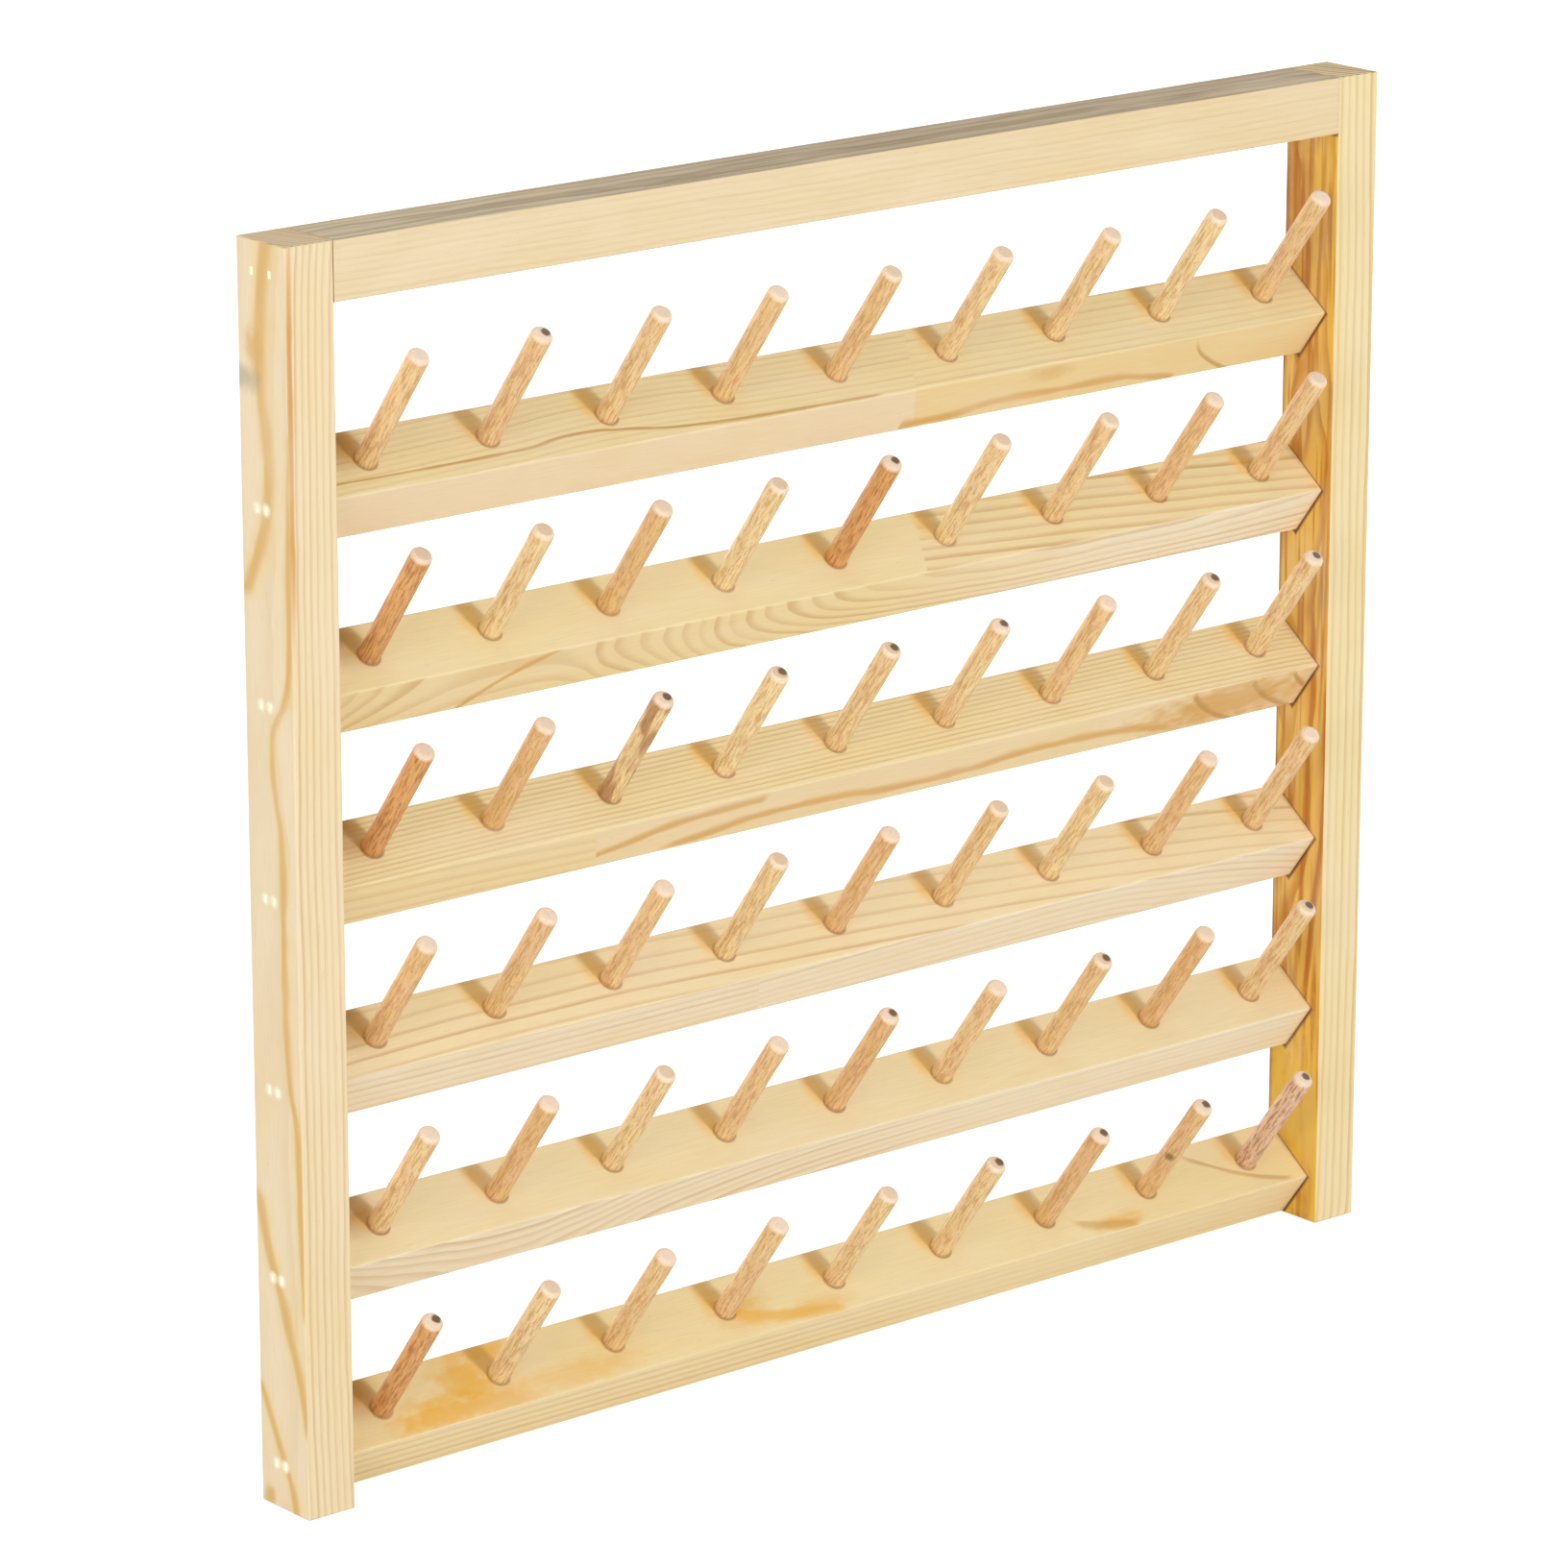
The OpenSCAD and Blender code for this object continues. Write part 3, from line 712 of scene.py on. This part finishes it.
def peg_rail_6():
    """Golden resin spots above, and straight brown lines below that fade to the right."""
    pine = Rail(6, OUT_OF_FACE, WARM, 9)
    fading = pine.math("MULTIPLY", pine.step(pine.a, -20, 60, 1.0, 0.35), pine.lower_face)
    pine.lay(pine.lower_face, SUNNY)
    bend = ((-RAIL_END, 0), (60, 1.0), (RAIL_END, 4))
    pine.rings(BAND, 0.5, 3.3, pith=130, wobble=0.8, bend=bend, where=fading)
    pine.lay(pine.step(pine.a, 60, RAIL_END, 0.0, 0.3), GOLDEN)
    pine.tint(GOLDEN, pine.step(pine.a, -RAIL_END, 0, 0.7, 0.0), pine.peg_face)
    for centre, size, strength in RESIN_SPOTS:
        pine.patch(RESIN, strength, pine.up, centre, size, pine.peg_face)
    pine.streak(RESIN, 0.7, pine.up, ((-48, 18), (-42, 12), (-30, 6), (-14, 3), (0, 1)), 5, pine.peg_face)
    dive = ((142, 20), (152, 13), (162, 7), (172, 3), (180, 1))
    pine.streak(LATE, 0.6, pine.up, dive, 2.2, pine.peg_face)
    pine.streak(LATE, 0.5, pine.up, ((90, 8), (100, 4), (116, 1)), 3.6, pine.peg_face)
    return pine.done()


BOARDS = (left_stile, right_stile, top_rail, peg_rail_1, peg_rail_2, peg_rail_3, peg_rail_4, peg_rail_5,
          peg_rail_6)


class Beech(Paint):
    """Hardwood of one row of pegs.

    Places are in millimetres: x along the row, side and beside across a peg, and along its own axis.
    """

    def __init__(self, row):
        super().__init__(f"beech_row_{row}")
        seat = ridge(f"peg_rail_{row}") + UP_FACE * PEG_SEAT
        local = self.vector("SUBTRACT", self.place, tuple(seat))
        self.row = row
        self.x = self.dot(local, tuple(ALONG_X))
        self.side = self.dot(local, tuple(UP_FACE))
        self.along = self.dot(local, tuple(OUT_OF_FACE))
        # The peg's number in its row, from 1 at the left, and how far right of its own axis a place is
        middle = (PEGS + 1) / 2
        self.column = self.math("ADD", self.math("ROUND", self.math("DIVIDE", self.x, PEG_PITCH)), middle)
        self.beside = self.math("MULTIPLY_ADD", self.column, -PEG_PITCH,
                                self.math("ADD", self.x, PEG_PITCH * middle))
        # Two numbers from 0 to 1 that differ from peg to peg
        self.chance = self.random(self.math("ADD", self.column, 20.0 * row))
        self.other = self.random(self.math("ADD", self.column, 20.0 * row + 200))
        self.flecks = self.fibres(1.7, 0.2, detail=3.0, roughness=0.6)
        self.mottle = self.fibres(0.3, 0.09)
        self.pores = self.fibres(4.5, 0.8)
        self.colour = BEECH

    def fibres(self, across, along, detail=1.0, roughness=0.5):
        """Noise from 0 to 1, this fine across a peg and along it, and different on each peg."""
        shift = self.math("MULTIPLY", self.chance, 50.0)
        place = self.combine(self.math("MULTIPLY", self.x, across), self.math("MULTIPLY", self.side, across),
                             self.math("MULTIPLY_ADD", self.along, along, shift))
        return self.noise(place, detail, roughness)

    def chosen(self, column):
        """1 on the peg with this number in the row, and 0 on the others."""
        return self.math("COMPARE", self.column, column, 0.5)

    def wood(self):
        """A tone for each peg, browner on the chosen ones, with mottles, flecks and pores."""
        self.lay(self.chance, BEECH_BROWN)
        self.lay(self.step(self.mottle, 0.4, 0.65, 0.0, 0.6), BEECH_PINK)
        self.lay(self.step(self.other, 0.5, 1.0, 0.0, 0.6), BEECH_STRAW)
        fleck = FLECK
        for column in DARK_PEGS.get(self.row, ()):
            self.tint(BEECH_DARK, 0.85, self.chosen(column))
            fleck = self.mix(self.chosen(column), fleck, FLECK_DARK)
        self.lay(self.step(self.flecks, 0.42, 0.66, 0.0, 0.62), fleck)
        self.lay(self.step(self.pores, 0.62, 0.72, 0.0, 0.5), PORE)

    def streaked(self, column):
        """A brown streak in one peg's mottles."""
        streak = self.math("MULTIPLY", self.chosen(column), self.step(self.mottle, 0.45, 0.6))
        self.tint(PEG_STREAK, 0.6, streak)

    def knotty(self, column):
        """A small knot on the left of one peg, 20 mm from its rail."""
        far = self.far(self.math("ADD", self.beside, 2.0), self.math("ADD", self.side, 1.4),
                       self.math("ADD", self.along, -20.0))
        self.tint(PEG_KNOT, self.step(far, 0.8, 2.2, 0.8, 0.0), self.chosen(column))

    def speckled(self, column):
        """A rosier tone and brown specks on one peg."""
        self.tint(PEG_ROSY, 0.5, self.chosen(column))
        specks = self.math("MULTIPLY", self.chosen(column), self.step(self.flecks, 0.5, 0.58))
        self.tint(PEG_SPECK, 0.5, specks)

    def tips(self):
        """A pale rim on the rounding, and a flat end with darker pores and on some pegs a nearly black heart.
        """
        end = self.dot(self.normal, tuple(OUT_OF_FACE))
        flat = self.step(end, 0.85, 0.97)
        rim = self.math("MULTIPLY", self.step(end, 0.05, 0.3), self.math("SUBTRACT", 1.0, flat))
        self.tint(TIP_RIM, 0.7, rim)
        tone = self.mix(self.step(self.other, 0.4, 0.9), TIP, TIP_BROWN)
        tone = self.mix(self.step(self.pores, 0.45, 0.7, 0.0, 0.35), tone, TIP_PORE)
        far = self.far(self.math("ADD", self.beside, -0.9), self.math("ADD", self.side, -0.2))
        heart = self.step(self.math("MULTIPLY_ADD", self.flecks, 1.2, far), 1.6, 2.4, 0.95, 0.0)
        for column in DARK_TIPS.get(self.row, ()):
            tone = self.mix(self.math("MULTIPLY", self.chosen(column), heart), tone, TIP_HEART)
        self.tint(tone, 0.9, flat)

    def done(self):
        """Painted shade at the pegs' feet, where they meet the rail, and the finished material."""
        # Painted shade, darkest where the peg meets the rail and gone 2.2 mm out
        self.lay(self.step(self.along, 0.0, 2.2, 0.45, 0.0), PEG_FOOT_SHADE)
        self.bump(self.flecks, 0.04)
        return self.finish(0.5)


def pegs(row):
    """One row of pegs, with the marks that single pegs have."""
    beech = Beech(row)
    beech.wood()
    marks = ((STREAKED_PEG, beech.streaked), (KNOTTY_PEG, beech.knotty), (SPECKLED_PEG, beech.speckled))
    for (marked_row, column), mark in marks:
        if row == marked_row:
            mark(column)
    beech.tips()
    return beech.done()


def steel(name, tints, roughness):
    """Plated steel in a bright and a duller tint, with a faint cloudy grain."""
    paint = Paint(name)
    cloud = paint.noise(paint.place, 3.0, 0.5, scale=0.3)
    paint.colour, dull = tints
    paint.lay(paint.step(cloud, 0.3, 0.7), dull)
    paint.bump(cloud, 0.002)
    return paint.finish(paint.step(cloud, 0.3, 0.7, roughness, roughness + 0.08), specular=0.5, metallic=1.0)


def dress(node, material):
    """Gives a CAD node its material."""
    slots = frame["nodes"][node].data.materials
    slots.clear()
    slots.append(material)


def dress_rack():
    """Gives every CAD node its material. A board's own function has the name of its node."""
    for board in BOARDS:
        dress(board.__name__, board())
    for row in range(1, ROWS + 1):
        dress(f"pegs_row_{row}", pegs(row))
    brad_steel = steel("brad_steel", BRAD_STEEL, 0.45)
    hanger_steel = steel("hanger_steel", HANGER_STEEL, 0.4)
    for side in ("left", "right"):
        dress(f"{side}_brads", brad_steel)
        dress(f"{side}_hanger", hanger_steel)
        dress(f"{side}_hanger_nails", hanger_steel)


def camera():
    """The photograph's viewpoint, without lens shift."""
    data = bpy.data.cameras.new("camera")
    data.lens = CAMERA_LENS
    data.sensor_width = CAMERA_SENSOR
    view = bpy.data.objects.new("camera", data)
    view.location = CAMERA_PLACE
    view.rotation_euler = (math.pi / 2 - CAMERA_ELEVATION, 0, -CAMERA_AZIMUTH)
    bpy.context.scene.collection.objects.link(view)
    bpy.context.scene.camera = view


def lamp(name, place, width, power):
    """A square soft box at a place, turned to the rack."""
    data = bpy.data.lights.new(name, "AREA")
    data.size = width
    data.energy = power
    box = bpy.data.objects.new(name, data)
    box.location = place
    box.rotation_euler = (-Vector(place)).to_track_quat("-Z", "Y").to_euler()
    bpy.context.scene.collection.objects.link(box)


def seen(tree):
    """1 for what the camera sees, also in metal and through glass, and 0 for light on the object."""
    path = tree.nodes.new("ShaderNodeLightPath")
    total = path.outputs["Is Camera Ray"]
    for ray in ("Is Glossy Ray", "Is Transmission Ray"):
        either = tree.nodes.new("ShaderNodeMath")
        either.operation = "MAXIMUM"
        tree.links.new(total, either.inputs[0])
        tree.links.new(path.outputs[ray], either.inputs[1])
        total = either.outputs[0]
    return total


def floor():
    """A plain white floor under the stile ends, which keeps the rack's shadow."""
    bpy.ops.mesh.primitive_plane_add(size=FLOOR_W, location=(0, 0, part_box("left_stile")[0].z))
    plane = bpy.context.object
    plane.name = "floor"
    material = bpy.data.materials.new("floor")
    material.use_nodes = True
    tree = material.node_tree
    shader = tree.nodes["Principled BSDF"]
    shader.inputs["Base Color"].default_value = (FLOOR_GREY, FLOOR_GREY, FLOOR_GREY, 1)
    shader.inputs["Roughness"].default_value = 1
    shader.inputs["Specular IOR Level"].default_value = 0
    shader.inputs["Emission Color"].default_value = (1, 1, 1, 1)
    glow = tree.nodes.new("ShaderNodeMath")
    glow.operation = "MULTIPLY"
    glow.inputs[1].default_value = FLOOR_GLOW
    tree.links.new(seen(tree), glow.inputs[0])
    tree.links.new(glow.outputs[0], shader.inputs["Emission Strength"])
    plane.data.materials.append(material)


def world():
    """White for the eye, and a softer white as light on the object."""
    scene_world = bpy.data.worlds.new("studio")
    scene_world.use_nodes = True
    bpy.context.scene.world = scene_world
    tree = scene_world.node_tree
    background = tree.nodes["Background"]
    background.inputs["Color"].default_value = (1, 1, 1, 1)
    strength = tree.nodes.new("ShaderNodeMapRange")
    strength.inputs["To Min"].default_value = WORLD_LIGHT
    strength.inputs["To Max"].default_value = WORLD_SEEN
    tree.links.new(seen(tree), strength.inputs["Value"])
    tree.links.new(strength.outputs["Result"], background.inputs["Strength"])


dress_rack()
camera()
for values in LAMPS:
    lamp(*values)
floor()
world()
bpy.context.scene.view_settings.view_transform = "Standard"
